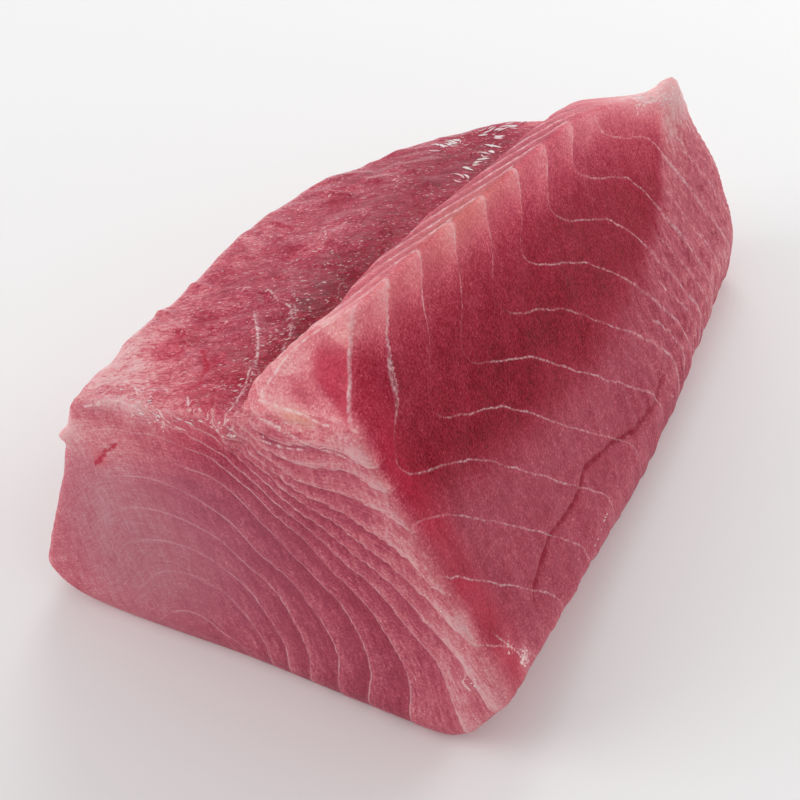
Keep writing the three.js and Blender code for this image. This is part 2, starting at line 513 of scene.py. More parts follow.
COUNTS = {"front": front_count, "slope": slope_count, "top": top_count, "side": side_count,
          "cell": cell_count}
fields = {}
for name, count in COUNTS.items():
    values, rates = count_and_rate(count, block, outward)
    fields[name + "_count"], fields[name + "_rate"] = values, rates
    print(name, "counts:", np.round([values.min(), values.max()], 1))

# near the far end weaker membranes lie halfway between the others
fields["between_count"] = fields["slope_count"] + 0.5
fields["between_rate"] = fields["slope_rate"]

# %% [markdown]
# ## Which cut a place belongs to
# Each corner knows its share of every cut, so a smooth mask for a face costs nothing. The
# squares of the shares add up to one in the middle of a face and to a half where two faces
# meet. That marks the knife edges, which look paler because light passes through the thin
# flesh there.

# %% Where the lines show
ARM_ALONG = [0, 20, 35, 53, 69, 91, 106]  # mm along the fish
LEFT_ARM_END = [25, 22, 16, 15, 13, 8, 0]  # mm below the crest, where the left arms fade
RIGHT_ARM_START = [25, 30, 31, 27, 24, 8, -4]  # mm below the crest, where the right arms begin
# the flesh turns pale towards the skin side: mm along the fish, mm down the slope
PALE_ALONG = [0, 20, 40, 60, 90, 110, 125, 140, 154, 164, 172, 185]
PALE_DOWN = [46, 50, 58, 64, 70, 70, 69, 63, 58, 51, 46, 40]
x, y, z = block.T
down = down_slope(block)
below_crest = down - crest_down(block)
inward = SLOPE_OFFSET - block @ SLOPE_NORMAL  # mm below the slope's plane
# the faces by name, from the shares of the cuts
front = share["front"] + share["near_corner"]
end = share["far_end"] + share["far_left"] + share["shoulder_end"] + share["crest_fall"]
side = share["side"] + share["side_foot"] + share["turn"] + share["turn_far"] + share["bevel"]
top = share["top"] + share["flank"] * ease(45, 62, z)
slope = share["slope"] + share["strip"] + share["foot"]
fan = share["front"] * ease(44, 64, x) + 0.6 * share["near_corner"]
# the arms of the chevrons, the pale margins and the first cell
left_end = np.interp(y, ARM_ALONG, LEFT_ARM_END)
right_start = np.interp(y, ARM_ALONG, RIGHT_ARM_START)
left_arm = ease(left_end + 3, left_end - 4, below_crest)
right_arm = ease(right_start - 2, right_start + 4, below_crest)
arms = np.maximum(left_arm, right_arm)
near_edge = (0.50 * ease(26, 4, inward) + 0.50 * ease(9, 1.5, inward)) * ease(56, 70, x)
beyond = down - np.interp(y, PALE_ALONG, PALE_DOWN)
pale_share = ease(-14 + 11 * ease(110, 150, y), 5, beyond)
past_edge = fields["cell_count"] * LAYER_PITCH  # mm past the nose's own membrane
on_cell = (share["nose"] + share["slope"] + share["band"]) * ease(80, 83, z) * ease(24, 21, y)
masks = {
    # how strongly each family of lines shows, and the marks of the knife across the layers
    "front_lines": front * (0.05 + 0.95 * ease(16, 30, x + 0.25 * (z - 34)))
    * (0.55 + 0.45 * ease(40, 60, x)) + 0.8 * end,
    "cut_across": front * (0.7 + 0.3 * ease(35, 60, x)) + 0.8 * end,
    "nose_lines": (share["nose"] + 0.5 * front * bell(block, (62, 0, 66), 9))
    * ease(-5.7, -5.3, fields["front_count"]),
    "slope_lines": slope * (0.12 + 0.88 * arms) * ease(-1, 4, y),
    "cell_lines": on_cell * ease(5, 2, np.abs(past_edge)) * ease(2, 4, y),
    "band_lines": share["band"],
    "top_lines": top * ease(3.4, 2.2, fields["top_count"]) * (0.3 + 0.7 * ease(36, 42, x)),
    "side_lines": side * 0.8,
    # where the layers change tone from one membrane to the next, with painted shade on the low
    # side of each step
    "fan": fan + 0.35 * share["nose"] * ease(-5, -6, fields["front_count"]),
    "crest": share["slope"] * ease(15, 1, below_crest) * ease(160, 120, y)
    + 0.6 * share["band"],
    # the gloss, the soft skin side and the torn top
    "wet": np.clip(top * (1 - 0.5 * ease(38, 46, x)) + 0.5 * side + 0.5 * share["nose"], 0, 1),
    "strip": share["strip"] + share["foot"] + share["slope"] * pale_share,
    "rough_top": top + 0.15 * side,
}
masks["far_rough"] = masks["strip"] * ease(90, 140, y)
masks["between_lines"] = masks["strip"] * ease(0, 9, beyond) * ease(95, 125, y)
# the pale knife edges, weaker on the left side and along the first cell
squares = sum(part**2 for part in share.values())
masks["edge"] = np.clip(2 * (1 - squares), 0, 1) * ease(4, 12, z)
masks["edge"] *= (1 - 0.6 * (side + end)) * (1 - 0.5 * near_edge)
masks["edge"] *= 1 - on_cell * ease(-3, 0, past_edge) * ease(19, 15, y)

# %% [markdown]
# ## How deep the red is
# The core of the loin is dark crimson. Thin places, the cuts that have met the air and the
# flesh under the skin side are rosier and paler. A single number from 0, pale, to 1, crimson,
# says where, and the material turns it into colour. A second number warms the red towards
# peach or, below zero, cools it towards mauve.

# %% Depth and warmth of the red
SLOPE_DOWN = [0, 3, 9, 16, 35, 50, 64, 90]  # mm below the crest
SLOPE_RED = [0.24, 0.32, 0.60, 0.80, 0.92, 0.88, 0.74, 0.66]

# name: centre, reach along x, y and z in mm, change of the red, change of the warmth
PATCHES = {
    "pale heart of the front": ((27, -1, 30), (16, 8, 16), -0.17, -0.80),
    "white streak": ((17, -1, 38), (1.5, 6, 9), -0.16, -0.10),
    "pink upper left": ((18, -1, 58), (14, 8, 5), -0.02, 0.30),
    "red left cheek": ((2, 0, 24), (7, 12, 18), 0.16, 0.15),
    "red lower margin": ((45, -1, 3), (36, 8, 4.5), 0.14, 0.0),
    "dark fold": ((44, -1, 52), (12, 8, 6), 0.12, -0.20),
    "dense fan": ((62, -1, 42), (10, 8, 12), 0.16, -0.15),
    "pale under the nose": ((60, 0, 72), (8, 6, 4), -0.20, 0.0),
    "pale by the valley's mouth": ((47, 1, 73), (5, 5, 3), -0.30, 0.0),
    # paler at the torn tip and the crest's end: painted highlights along the far top edges, with
    # pale torn flesh at the tip
    "pale torn tip with painted highlight": ((85, 181, 56), (6, 9, 6), -0.80, 0.0),
    "painted highlight at the end of the crest": ((80, 167, 61), (8, 10, 4), -0.42, 0.0),
    "cherry tinge, first": ((96, 5, 56), (3, 5, 5), 0.16, 0.2),
    "cherry tinge, second": ((101, 4, 48), (3, 5, 4), 0.22, 0.2),
    "cherry tinge, third": ((109, 3, 35), (3, 4, 3), 0.26, 0.2),
    "rosy brow": ((20, -1, 62), (14, 3, 5), 0.05, 0.0),
    "pale lower edge": ((106, -1, 33), (3, 3, 11), -0.18, 0.0),
    "pale torn rim": ((31, 2, 71), (10, 4, 3), -0.20, 0.0),
    "pale near corner": ((103, -1, 10), (6, 4, 9), -0.24, 0.0),
    "deep lower right": ((74, -1, 14), (20, 8, 12), 0.07, -0.1),
    # lighter where glints lie on the top: pale torn flesh, partly painted glints
    "pale torn patch with painted glints": ((35, 76, 66), (4, 7, 5), -0.34, 0.0),
    "pale near top": ((18, 19, 67), (8, 10, 5), -0.22, 0.0),
    "rosy upper edge": ((16, 1, 66), (9, 3, 2.5), 0.22, 0.0),
    "creamy side of the nose": ((57, 8, 83), (4.5, 6, 4.5), -0.25, -0.1),
    "pale foot of the first cell": ((80, 4, 82), (4, 4, 4), -0.22, 0.0),
    "peach head of the first cell": ((69, 17, 95), (4, 3, 3), -0.12, 0.15),
    "dark mid top": ((36, 61, 67), (9, 10, 6), 0.08, 0.0),
    "pale left tag": ((8, 0, 56), (3, 3, 3), -0.30, 0.0),
    "wisp of white skin": ((112.5, 8, 29), (1.6, 2.5, 2.4), -0.40, -0.3),
    "wider end of the wisp": ((115.5, 11.5, 22.5), (1.8, 2.6, 2.6), -0.60, -0.3),
    "red under the nose": ((60, 1, 76.5), (4, 4, 1.0), 0.24, 0.0),
    "yellow streak": ((66, 3, 80.8), (4.5, 4, 1.1), -0.20, 0.9),
    "red near corner": ((112, 8, 34), (4, 6, 5), 0.14, 0.3),
    "first cell": ((77, 15, 91), (4, 6, 6), 0.06, 0.0),
    "pale top of the nose": ((60, 14, 89), (4, 6, 4), -0.14, 0.0),
    # painted highlight along the far rim of the top
    "painted highlight on the far rim": ((57, 147, 59), (6, 4, 4), -0.35, 0.0),
    "pale leaf by the valley": ((56, 0, 76), (3.5, 4, 2), -0.20, 0.0),
    "crimson core": ((96, 36, 58), (14, 26, 18), 0.08, 0.0),
    "crimson core beyond": ((90, 88, 62), (12, 26, 12), 0.06, 0.0),
    "rosy far slope": ((84, 165, 72), (16, 18, 16), -0.35, 0.15),
    "peach crest": ((73, 90, 92), (9, 32, 7), -0.06, 0.75),
    "peach near crest": ((72, 29, 95), (5, 9, 4), -0.10, 0.2),
    "pale front of the top": ((22, 11, 70), (13, 7, 8), -0.30, 0.0),
    "dark scrape": ((40, -1, 54.5), (4.0, 3, 1.0), 0.16, -0.1),
    "scratch on the nose, high end": ((62, 9, 85), (1.4, 2, 1.0), 0.08, 0.0),
    "scratch on the nose": ((64, 7.5, 84.5), (1.4, 2, 1.0), 0.12, 0.0),
    "scratch on the nose, low end": ((66, 6, 84), (1.4, 2, 1.0), 0.12, 0.0),
    "red scar on the top": ((24, 26, 68), (3, 7, 6), 0.32, 0.25),
    # a painted sheen of wet light along the top's left rim
    "painted sheen on the rim of the top": ((16, 60, 64), (6, 40, 8), -0.18, 0.0),
    "red corner by the valley": ((40, 12, 71), (7, 12, 6), 0.22, 0.2),
    "dark middle of the top": ((46, 66, 68), (8, 34, 8), 0.26, -0.1),
    "dark end of the top": ((52, 125, 63), (8, 16, 8), 0.40, -0.1),
    # crimson along the valley, darkened further as painted shade in the valley's hollow
    "crimson and painted shade beside the valley": ((49.5, 38, 71), (4.5, 32, 8), 0.40, 0.25),
}
ELSEWHERE_RED = 0.42  # the red of the cuts that red_of leaves out
PALE_FLOOR, PALE_SHARE = 0.05, 0.65  # below the floor the red only falls by this share

# the slope's red: by the distance from the crest, paler towards the skin and the front cut
red_slope = soft_profile(below_crest, SLOPE_DOWN, SLOPE_RED, 1.5)
# paler towards the far end, partly painted light falling from the far right
pale_red = 0.52 - 0.20 * ease(100, 175, y)
red_slope = red_slope + (pale_red - red_slope) * pale_share
red_slope = red_slope - 0.34 * ease(7, -1, y)
red_of = {
    "front": 0.10 + 0.28 * ease(14, 52, x) + 0.12 * ease(64, 84, x) - 0.50 * near_edge,
    "near_corner": 0.50 - 0.10 * near_edge,
    "nose": 0.20,
    "slope": red_slope,
    # the skin side pales towards the far end, partly painted light falling from the far right
    "strip": 0.52 - 0.26 * ease(110, 180, y),
    "foot": 0.42,
    "band": 0.52 - 0.20 * ease(60, 20, y),
    "top": 0.40 + 0.15 * ease(30, 60, y),
    "flank": 0.40,
}
red = sum(share[name] * value for name, value in red_of.items())
red = red + (1 - sum(share[name] for name in red_of)) * ELSEWHERE_RED
warm = -0.35 * top - 0.42 * share["front"] - 0.25 * masks["strip"] + 0.10 * share["nose"]
for centre, reach, more_red, more_warm in PATCHES.values():
    shape = bell(block, centre, reach)
    red = red + more_red * shape
    warm = warm + more_warm * shape
# the nose's cherry edge, which widens away from the front cut, and the dark first cell
cell_width = 0.5 + 7.5 * ease(2.5, 11, y)
cherry = ease(-cell_width - 2.2, -cell_width + 1.2, past_edge) * ease(0.5, -0.3, past_edge)
cherry = cherry * share["nose"] * ease(16.5, 12, y)
first_cell = ease(-0.2, 1.0, past_edge) * share["nose"] * ease(2, 6, y) * ease(22, 14, y)
red = red + 0.34 * cherry + 0.36 * first_cell
red = np.maximum(red, PALE_FLOOR + PALE_SHARE * (red - PALE_FLOOR))
masks["red"] = red
# fresh, bright red, which the ramp alone would leave dull: centre, reach, amount
FRESH = [
    (*PATCHES["red scar on the top"][:2], 0.5),
    (*PATCHES["red corner by the valley"][:2], 0.4),
    (*PATCHES["rosy far slope"][:2], 0.35),
    ((17.3, -1, 52.2), (1.2, 3, 1.8), 0.7),
]
fresh = cherry + 0.45 * first_cell + 0.16 * top * ease(30, 60, y)
fresh = fresh + 0.3 * share["slope"] * ease(16, 2, below_crest) * ease(150, 100, y)
fresh = fresh + 0.5 * share["slope"] * ease(1, 5, y) * ease(17, 7, y) * ease(8, 14, below_crest)
fresh = fresh + sum(amount * bell(block, centre, reach) for centre, reach, amount in FRESH)
masks["cherry"] = np.clip(fresh, 0, 1)
masks["dull"] = np.clip(0.22 * masks["strip"] + 0.12 * share["front"]
                        + 0.24 * bell(block, (27, -1, 28), (18, 8, 18)), 0, 0.5)
masks["warm"] = warm
print("red from", round(float(red.min()), 2), "to", round(float(red.max()), 2))

# %% [markdown]
# ## The crack, the slits and the torn membranes
# One long crack runs down the slope near the board, where the muscle has begun to part. It is
# a bent line on the slope, and each corner keeps its distance from that line, with a sign that
# says on which side it lies. The thin slits and the lone strands of membrane are bent lines in
# space, and each corner keeps the same kind of distance from the nearest of them.

# %% Flecks, crack, strands and slits
# white flecks of torn membrane, and painted glints of wet light on the top, its far rim and the
# tip: centre, reach along x, y and z in mm, amount
FLECKS_AND_GLINTS = [
    ((24, 5, 70), (8, 5, 6), 0.8),
    ((34, 0, 70), (5, 5, 5), 0.75),
    ((49, 1, 73), (4, 4, 4), 0.9),
    ((44, 27, 71), (3, 12, 6), 0.7),
    ((45, 50, 69), (7, 14, 6), 0.65),
    ((46, 84, 67), (8, 18, 6), 0.45),
    ((36, 76, 66), (4, 10, 5), 0.45),
    ((55, 122, 63), (4, 16, 5), 0.9),
    ((44, 134, 59), (8, 7, 5), 0.9),
    ((26, 60, 65), (14, 40, 8), 0.35),
    ((80, 167, 61), (6, 8, 3), 1.3),
    ((85, 181, 55), (5, 7, 6), 1.2),
    ((70, 0, 75), (12, 5, 5), 0.45),
    ((60, 0, 62), (10, 5, 7), 0.5),
    ((104, 2, 42), (6, 4, 12), 0.4),
    ((114, 60, 15), (3, 8, 4), 0.7),
    ((110, -1, 22), (3, 3, 4), 0.8),
    ((51, 0, 75.5), (1.6, 1.6, 1.6), 0.7),
    ((112.5, 8, 28), (1.6, 2.5, 2.5), 1.3),
    ((115.5, 11.5, 22.5), (1.8, 2.6, 2.6), 1.8),
]
CRACK = [(24, 84), (27, 82), (30, 81), (36, 80), (41, 79), (46, 80), (53, 82), (60, 82),
         (67, 80), (74, 82), (81, 84), (93, 89), (105, 91), (112, 90), (118, 89)]
crack_y, crack_down = np.array(CRACK, float).T
crack_side = down - np.interp(y, crack_y, crack_down)
masks["crack_side"] = crack_side
masks["flecks"] = np.clip(sum(
    amount * bell(block, centre, reach) for centre, reach, amount in FLECKS_AND_GLINTS), 0, 1.6)
# lone strands of torn membrane, as points in millimetres
STRANDS = [
    [(56, 7, 81), (57, 9, 84), (59, 13, 88), (62, 16, 92), (65, 18, 95), (69, 20, 97)],
    [(56, 6, 80), (62, 5, 81), (67, 4, 82), (72, 3, 82), (77, 3, 83)],
    [(58, 2, 78), (65, 1, 79), (72, 0, 78), (78, 0, 78), (83, 1, 77)],
    [(59, 0, 75), (64, 0, 75), (68, 0, 76)],
    [(15, 0, 67), (23, 2, 70), (26, 1, 71), (33, 0, 71)],
    [(34, 1, 72), (36, 0, 71), (38, 0, 70), (41, 0, 70)],
    [(19, 8, 70), (22, 8, 70), (25, 6, 71), (31, 7, 72)],
    [(38, 6, 73), (41, 1, 74)],
    [(41, 5, 74), (44, 1, 75)],
    [(46, 3, 75), (48, 0, 74)],
    [(48, 11, 75), (50, 5, 76), (50, 1, 76)],
    [(34, 42, 68), (38, 36, 70), (41, 31, 71), (44, 25, 73), (46, 18, 74), (49, 10, 76)],
    [(32, 50, 67), (34, 50, 67), (38, 47, 68), (41, 46, 69), (44, 42, 70), (46, 37, 71)],
    [(37, 56, 67), (40, 57, 68)],
    [(79, 164, 62), (82, 171, 58), (84, 180, 57)],
    [(110, 6, 33), (113, 9, 27), (116, 12, 21)],
    [(107, -1, 27), (106, -1, 24), (109, -1, 22)],
]
# thin red slits
SLITS = [
    [(16, -1, 50), (17.3, -1, 52.4), (19.5, -1, 55.6), (22, 0, 58.2)],
    [(31, 24, 70), (34, 20.4, 71), (35.5, 16.6, 71.8), (37, 12, 72.5)],
]
STRAND_LIFT = 4.0  # mm by which a strand's points may miss the skin


def strand_distance(points, normals, strands):
    """The distance over the skin to the nearest strand, in millimetres, and its side.

    For each piece of a strand the nearest place is start + clip(t, 0, 1) * way. The part of the
    distance along the normal counts only where it is more than STRAND_LIFT. The side is the
    sign of normal . (way x distance), so distance * side passes evenly through the strand.
    """
    nearest = np.full(len(points), 99.0)
    side_of = np.ones(len(points))
    for strand in strands:
        corners = np.array(strand, float)
        for start, way in zip(corners[:-1], corners[1:] - corners[:-1]):
            along = np.clip((points - start) @ way / (way @ way), 0, 1)
            away = points - start - along[:, None] * way
            lift = (away * normals).sum(axis=1)
            level = np.linalg.norm(away - lift[:, None] * normals, axis=1)
            here = np.hypot(level, np.maximum(np.abs(lift) - STRAND_LIFT, 0))
            turn = np.sign((np.cross(way, away) * normals).sum(axis=1))
            side_of = np.where(here < nearest, turn, side_of)
            nearest = np.minimum(nearest, here)
    return nearest, side_of


for name, curves in (("strand", STRANDS), ("slit", SLITS)):
    masks[name], side_of = strand_distance(block, outward, curves)
    masks[name + "_side"] = masks[name] * side_of
masks["crack"] = share["slope"] * ease(20, 30, y) * ease(122, 112, y)

# %% [markdown]
# ## Relief
# The cuts aren't as flat as planes. Each layer stands a hair above the next, the top has been
# torn rather than cut, and thick membranes stand proud of the soft flesh. All of that is real
# relief in the mesh, worked out as one height per corner and pushed along the normal.

# %% Noise and ridges
# large odd numbers that stir a corner's place and the seed into a random number
STIR_PLACE = np.array([73856093, 19349663, 83492791])
STIR_SEED = 2654435761
STIR_AGAIN = 1274126177


def soft_noise(points, size, seed):
    """Random heights from -1 to 1 at the corners of cubes, blended smoothly in between."""
    cell = points / size
    low = np.floor(cell).astype(np.int64)
    part = cell - low
    part = part**3 * (part * (part * 6 - 15) + 10)
    total = np.zeros(len(points))
    for corner in range(8):
        step = np.array([corner & 1, corner >> 1 & 1, corner >> 2 & 1])
        key = (low + step) * STIR_PLACE
        mixed = key[:, 0] ^ key[:, 1] ^ key[:, 2] ^ (seed * STIR_SEED)
        mixed = (mixed ^ (mixed >> 13)) * STIR_AGAIN
        height = ((mixed ^ (mixed >> 16)) & 0xFFFF) / 32767.5 - 1
        total += height * np.prod(np.where(step == 1, part, 1 - part), axis=1)
    return total


def noise_sum(points, *layers):
    """The sum of several noises. Each layer is a height in mm, a size in mm and a seed."""
    return sum(height * soft_noise(points, size, seed) for height, size, seed in layers)


def along_grain(points, heading, stretch):
    """The points, squeezed along a level heading, so that noise on them comes out stretched."""
    turn = np.radians(heading)
    along = points @ np.array([np.cos(turn), np.sin(turn), 0])
    across = points @ np.array([-np.sin(turn), np.cos(turn), 0])
    return np.stack([along / stretch, across, points[:, 2]], axis=1)


def saw(count):
    """+0.5 just past a membrane, falling evenly to -0.5 before the next."""
    return 0.5 - (count - np.floor(count))


def line_ridge(family, width):
    """1 on a membrane of the family, fading to 0 over the given width in millimetres."""
    count, rate = fields[family + "_count"], fields[family + "_rate"]
    away = np.abs(count - np.round(count)) / np.maximum(rate, 0.005)
    return np.exp(-((away / width) ** 2))


# %% The relief itself
TOP_GRAIN = 30  # heading of the torn fibres on the top, degrees
SCRATCH_TILT = -20  # lean of the knife's scratches on the cuts across the fish, degrees
# the slope's first two membranes, near the crest, and the nose's own are thick
thick = np.clip(1 - np.abs(fields["slope_count"] - 0.5), 0, 1) > 0.45
thick = thick * share["slope"] * ease(26, 20, below_crest) + masks["cell_lines"]
masks["thick"] = thick
# steps from layer to layer, the torn top, and broad waves with streaks on the skin side
top_grain = along_grain(block + 2 * soft_noise(block, 20, 9)[:, None], TOP_GRAIN, 2.6)
step_height = 0.45 + 0.30 * ease(0, -3, fields["front_count"])
steps = -step_height * saw(fields["front_count"]) * fan * ease(0.9, 0.3, fields["front_rate"])
torn = noise_sum(top_grain, (0.16, 1.7, 11), (0.34, 3.4, 12))
torn += noise_sum(block, (0.8, 13.0, 13), (0.40, 6.0, 14))
torn += 0.6 * line_ridge("top", 0.9) * ease(-0.2, 0.5, soft_noise(block, 7.0, 15))
waves = noise_sum(block, (0.30, 16.0, 3), (0.14, 7.0, 4))
streaks = noise_sum(np.stack([x, y * 4, z], axis=1), (0.30, 11.0, 31), (0.12, 5.0, 32))
# the torn rim and the crack, and then everything together, fading out at the board
rim = bell(block, (28, 3, 72), (16, 4, 6)) + bell(block, (50, 3, 73), (7, 5, 5))
groove = -0.8 * np.exp(-((crack_side / 0.9) ** 2)) * masks["crack"]
relief = waves + steps + torn * (top + 0.5 * side) + groove
relief += streaks * (masks["strip"] + masks["far_rough"])
relief += 0.28 * line_ridge("slope", 0.9) * thick
relief += 0.25 * line_ridge("cell", 0.9) * masks["cell_lines"]
relief += 0.30 * np.exp(-((masks["strand"] / 0.8) ** 2))
relief -= 0.35 * np.exp(-((masks["slit"] / 0.7) ** 2))
relief += 0.8 * rim * soft_noise(block, 2.0, 23)
relief += 0.35 * masks["edge"] * soft_noise(block, 6.0, 25) * (side + end > 0.2)
relief *= ease(0, 4, z)
block = block + relief[:, None] * outward
block[:, 2] = np.maximum(block[:, 2], 0)
print("relief, mm:", np.round([relief.min(), relief.max()], 2))

# %% [markdown]
# ## The flesh as a mesh
# The arrays go into the mesh in one call each, and every field becomes an attribute that the
# material can read.

# %% The mesh


def add_piece(name, points, faces, attributes=None):
    """A smooth mesh object at the origin, from working-frame millimetres.

    The faces come as a list of arrays, one for each number of corners.
    """
    mesh = bpy.data.meshes.new(name)
    mesh.vertices.add(len(points))
    mesh.vertices.foreach_set("co", ((points + CORNER_SHIFT) * MM).astype(np.float32).ravel())
    corners = np.concatenate([f.ravel() for f in faces]).astype(np.int32)
    sizes = np.concatenate([np.full(len(f), f.shape[1]) for f in faces])
    mesh.loops.add(len(corners))
    mesh.loops.foreach_set("vertex_index", corners)
    mesh.polygons.add(len(sizes))
    starts = np.concatenate([[0], np.cumsum(sizes)[:-1]]).astype(np.int32)
    mesh.polygons.foreach_set("loop_start", starts)
    mesh.update(calc_edges=True)
    mesh.polygons.foreach_set("use_smooth", np.ones(len(sizes), bool))
    for key, values in (attributes or {}).items():
        layer = mesh.attributes.new(key, "FLOAT", "POINT")
        layer.data.foreach_set("value", np.asarray(values, np.float32))
    piece = bpy.data.objects.new(name, mesh)
    scene.collection.objects.link(piece)
    return piece


flesh = add_piece("flesh", block, [quads], {**fields, **masks})
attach(flesh, "root")
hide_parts(NODE)

# %% [markdown]
# ## Colour
# The material starts from the depth of the red. A few named colours, from pale rose to dark
# crimson, are joined by a ramp. Grain, membranes and the pale edges move the depth up or down
# before the ramp turns it into colour, so that everything stays within the colours of fish.

# %% Node helpers


class Level:
    """A number, place or colour that the shader works out. The usual signs add Math nodes."""

    def __init__(self, socket):
        self.socket = socket
        self.tree = socket.id_data

    def __add__(self, other):
        return maths("ADD", self, other)

    def __sub__(self, other):
        return maths("SUBTRACT", self, other)

    def __rsub__(self, other):
        return maths("SUBTRACT", other, self)

    def __mul__(self, other):
        return maths("MULTIPLY", self, other)

    def __truediv__(self, other):
        return maths("DIVIDE", self, other)

    __radd__ = __add__
    __rmul__ = __mul__


def link(source, target):
    """Joins a level to an input, or sets the input to a plain number or colour."""
    if isinstance(source, Level):
        source.tree.links.new(source.socket, target)
    else:
        target.default_value = source


def add_node(tree, kind, inputs, output=0, **settings):
    """A new node with its settings and inputs, and one of its outputs as a level."""
    node = tree.nodes.new("ShaderNode" + kind)
    for name, value in settings.items():
        setattr(node, name, value)
    for name, value in inputs.items():
        link(value, node.inputs[name])
    return Level(node.outputs[output])


def maths(operation, first, second=0.0):
    """One Math node on one level, on two, or on a level and a plain number."""
    tree = first.tree if isinstance(first, Level) else second.tree
    return add_node(tree, "Math", {0: first, 1: second}, operation=operation)


def remap(value, low, high, to_low=0.0, to_high=1.0):
    """A smooth step from (low, high) to (to_low, to_high)."""
    return add_node(value.tree, "MapRange", {
        "Value": value, "From Min": low, "From Max": high, "To Min": to_low,
        "To Max": to_high}, "Result", interpolation_type="SMOOTHSTEP")


def noise(where, scale, detail=2.0, roughness=0.5, heading=0.0, stretch=None, tilt=0.0):
    """A Noise Texture on the coordinates, which may be turned and then stretched."""
    if stretch is not None:
        turned = (0.0, float(np.radians(tilt)), float(np.radians(heading)))
        where = add_node(where.tree, "Mapping", {
            "Vector": where, "Rotation": turned, "Scale": stretch}, vector_type="TEXTURE")
    return add_node(where.tree, "TexNoise", {
        "Vector": where, "Scale": scale, "Detail": detail, "Roughness": roughness}, "Fac")


def blend(share_of_second, first, second):
    """A mix of two colours."""
    return add_node(share_of_second.tree, "Mix", {
        "Factor": share_of_second, 6: first, 7: second}, 2, data_type="RGBA")


def centred(value, strength):
    """(value - 0.5) * strength, which is zero on average for a noise."""
    return (value - 0.5) * strength


def thin_line(side, ragged, near, far, strength):
    """A line where a signed distance is zero: its strength fades from near to far, in mm."""
    return remap(maths("ABSOLUTE", side) + ragged, near, far, strength, 0.0)


def srgb(red_level, green_level, blue_level):
    """A colour from 0 to 255 per channel, as the linear numbers that a shader wants."""
    level = np.array([red_level, green_level, blue_level]) / 255
    linear = np.where(level <= 0.04045, level / 12.92, ((level + 0.055) / 1.055) ** 2.4)
    return (*[float(v) for v in linear], 1.0)


def new_material(name):
    """A material with nodes: itself, its surface, and the part's own coordinates as a level."""
    material = bpy.data.materials.new(name)
    material.use_nodes = True
    tree = material.node_tree
    return material, tree.nodes["Principled BSDF"], add_node(tree, "TexCoord", {}, "Object")


# %% Groups: wear and membrane lines
WEAR_OUTPUTS = ("Sway", "Patches", "Dashes")


def node_group(name, inputs, outputs, recipe):
    """A node group of numbers, and the vector Where. The recipe turns inputs into outputs."""
    tree = bpy.data.node_groups.new(name, "ShaderNodeTree")
    for direction, sockets in (("INPUT", inputs), ("OUTPUT", outputs)):
        for socket in sockets:
            kind = "NodeSocketVector" if socket == "Where" else "NodeSocketFloat"
            tree.interface.new_socket(socket, in_out=direction, socket_type=kind)
    into = tree.nodes.new("NodeGroupInput")
    out = tree.nodes.new("NodeGroupOutput")
    levels = recipe(*[Level(into.outputs[socket]) for socket in inputs])
    for socket, level in zip(outputs, levels):
        link(level, out.inputs[socket])
    return tree


def place_group(tree, group, inputs):
    """The group placed in a material, and its outputs by name."""
    node = tree.nodes.new("ShaderNodeGroup")
    node.node_tree = group
    for name, value in inputs.items():
        link(value, node.inputs[name])
    return {socket.name: Level(socket) for socket in node.outputs}


def wear(where):
    """What makes every line uneven: how far it sways aside, and where it is faint or broken."""
    sway = noise(where, 150.0) * 2.0 - 1.45 + noise(where, 650.0, 2.0, 0.6) * 0.9
    patches = remap(noise(where, 130.0), 0.36, 0.60, 0.35, 1.0)
    dashes = remap(noise(where, 900.0, 3.0, 0.65), 0.42, 0.58)
    return sway, patches, dashes


def membrane_lines(count, rate, width, waver, breaks, sway, patches, dashes):
    """Lines where a count is whole, a wider halo round them, and the share of a layer past.

    The distance to the nearest line, in millimetres, is |count - nearest whole| / rate. The
    sway moves the count a little, so that lines waver, and the dashes break them.
    """
    past = maths("FRACT", count + sway * waver * rate)
    distance = maths("MINIMUM", past, 1.0 - past) / maths("MAXIMUM", rate, 0.002)
    line = remap(distance, width * 0.2, width, 1.0, 0.0)
    line = line * (1.0 - (1.0 - dashes) * breaks) * patches
    halo = remap(distance, 0.0, width * 4.5, 1.0, 0.0)
    return line, halo, past


WEAR = node_group("Wear", ("Where",), WEAR_OUTPUTS, wear)
MEMBRANES = node_group("Membranes", ("Count", "Rate", "Width", "Waver", "Breaks") + WEAR_OUTPUTS,
                       ("Line", "Halo", "Past"), membrane_lines)

# %% [markdown]
# ## The flesh's material
# One dictionary holds the mesh's attributes and another holds the noises, so that each of them
# is one node. The depth of the red comes first, then its colour, then what lies on top of it:
# the crack, the slits, the membranes, the white flecks and the painted glints of wet light.

# %% Colours, lines and noises
RAMP = {
    # depth of the red: colour
    -0.35: srgb(249, 200, 200),
    -0.13: srgb(244, 178, 181),
    0.00: srgb(236, 148, 155),
    0.20: srgb(219, 109, 123),
    0.40: srgb(195, 78, 99),
    0.60: srgb(173, 50, 74),
    0.80: srgb(158, 29, 55),
    1.00: srgb(138, 14, 38),
    1.20: srgb(112, 4, 26),
}
PEACH = srgb(226, 168, 124)
MAUVE = srgb(170, 100, 122)
DULL_RED = srgb(156, 98, 107)
FRESH_RED = srgb(212, 42, 74)
CRACK_RED = srgb(146, 18, 44)
SLIT_RED = srgb(188, 18, 56)
MEMBRANE_WHITE = srgb(238, 200, 204)
